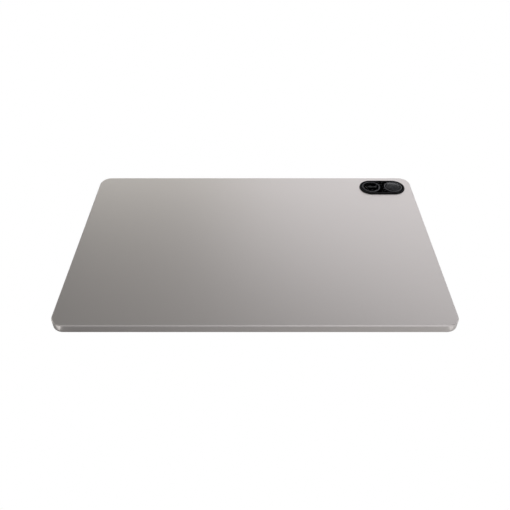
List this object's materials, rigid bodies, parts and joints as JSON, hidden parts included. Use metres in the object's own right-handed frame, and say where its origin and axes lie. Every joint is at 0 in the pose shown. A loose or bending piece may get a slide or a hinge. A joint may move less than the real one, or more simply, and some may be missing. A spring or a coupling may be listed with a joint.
{
  "type": "tablet computer",
  "caption": "Slim tablet computer with a flat-sided metal back, a black pill-shaped rear camera pod, side keys, a charging port, speaker grilles and a full-face screen.",
  "frame": {"origin": "middle of the screen glass's outer face", "axes": "+X along the long side, +Y towards the long edge beside the rear camera, +Z from the screen to the metal back; the tablet lies on its screen"},
  "size_m": [0.2774, 0.1796, 0.0076],
  "materials": {
    "housing_aluminium": "sandblasted and anodised warm grey, satin",
    "bezel_plastic": "moulded black, fine matt",
    "screen_glass": "polished cover glass",
    "camera_glass": "polished cover glass",
    "black_ink": "black screen print",
    "bonding_tape": "black foam tape",
    "clear_glue": "clear optical glue",
    "polarizer_film": "grey optical film",
    "display_glass": "thin display glass",
    "chip_epoxy": "moulded black epoxy",
    "white_plastic": "moulded white",
    "diffuser_film": "milky optical film",
    "clear_acrylic": "clear acrylic sheet",
    "led_package": "yellow phosphor on white package",
    "sheet_steel": "pressed nickel-silver sheet",
    "port_steel": "drawn stainless, satin",
    "dome_steel": "stamped spring steel",
    "screw_steel": "black-nickel plated",
    "flex_polyimide": "amber polyimide film",
    "black_anodised": "glossy black anodised",
    "ring_aluminium": "turned grey metal",
    "flash_lens": "clear flash lens",
    "camera_plastic": "moulded black, matt",
    "lens_glass": "coated lens glass",
    "circuit_board": "dark green solder mask",
    "graphite": "rolled graphite film",
    "socket_plastic": "moulded black with plated contacts",
    "battery_pouch": "laminated pouch, black sleeve",
    "speaker_plastic": "glass-filled black, moulded",
    "driver_metal": "stamped steel basket",
    "mesh_cloth": "fine black acoustic mesh",
    "seal_rubber": "black silicone",
    "antenna_plastic": "cream carrier with plated tracks",
    "lead_jacket": "black coaxial jacket",
    "magnet_plating": "nickel-plated magnet"
  },
  "bodies": {
    "chassis": {"rear_housing": "housing_aluminium", "bezel_frame": "bezel_plastic", "cover_glass": "screen_glass", "camera_cover_glass": "camera_glass", "border_print": "black_ink", "glass_adhesive": "bonding_tape", "battery_tapes": "bonding_tape", "display_glue": "clear_glue", "polarizers": "polarizer_film", "colour_filter_glass": "display_glass", "transistor_glass": "display_glass", "display_driver_chips": "chip_epoxy", "board_chips": "chip_epoxy", "backlight_frame": "white_plastic", "backlight_films": "diffuser_film", "light_guide": "clear_acrylic", "backlight_led_strip": "led_package", "flash_led": "led_package", "backlight_tray": "sheet_steel", "shield_cans": "sheet_steel", "key_brackets": "sheet_steel", "rear_camera_can": "sheet_steel", "microphones": "sheet_steel", "charge_port_shell": "port_steel", "power_key_dome": "dome_steel", "volume_key_domes": "dome_steel", "case_screws": "screw_steel", "display_flex": "flex_polyimide", "front_camera_flex": "flex_polyimide", "main_flex": "flex_polyimide", "battery_flex": "flex_polyimide", "power_key_flex": "flex_polyimide", "volume_key_flex": "flex_polyimide", "camera_pod_frame": "black_anodised", "camera_rings": "ring_aluminium", "flash_window": "flash_lens", "rear_camera_base": "camera_plastic", "front_camera": "camera_plastic", "main_board": "circuit_board", "sub_board": "circuit_board", "battery_board": "circuit_board", "graphite_sheet": "graphite", "board_sockets": "socket_plastic", "charge_port_tongue": "socket_plastic", "battery_cell_left": "battery_pouch", "battery_cell_right": "battery_pouch", "speaker_box_upper_right": "speaker_plastic", "speaker_box_lower_right": "speaker_plastic", "speaker_box_upper_left": "speaker_plastic", "speaker_box_lower_left": "speaker_plastic", "speaker_drivers": "driver_metal", "speaker_meshes": "mesh_cloth", "mic_gaskets": "seal_rubber", "antennas": "antenna_plastic", "antenna_leads": "lead_jacket", "cover_magnets": "magnet_plating"},
    "power_key": {"power_key": "housing_aluminium"},
    "volume_key": {"volume_key": "housing_aluminium"},
    "autofocus_lens": {"rear_lens_barrel": "camera_plastic", "rear_lens_glass": "lens_glass"}
  },
  "joints": [
    {"name": "power_key_press", "type": "slide", "parent": "chassis", "child": "power_key", "axis": [-1, 0, 0], "range_m": [0, 0.00025], "stiffness_N_per_m": 6000, "deforming": ["power_key_dome"]},
    {"name": "volume_key_rock", "type": "hinge", "parent": "chassis", "child": "volume_key", "pos_m": [0.096, 0.08705, 0.0034], "axis": [0, 0, 1], "range_deg": [-1.2, 1.2], "stiffness_Nm_per_rad": 0.7, "deforming": ["volume_key_domes"]},
    {"name": "autofocus_travel", "type": "slide", "parent": "chassis", "child": "autofocus_lens", "axis": [0, 0, 1], "range_m": [0, 0.00025], "stiffness_N_per_m": 60}
  ]
}
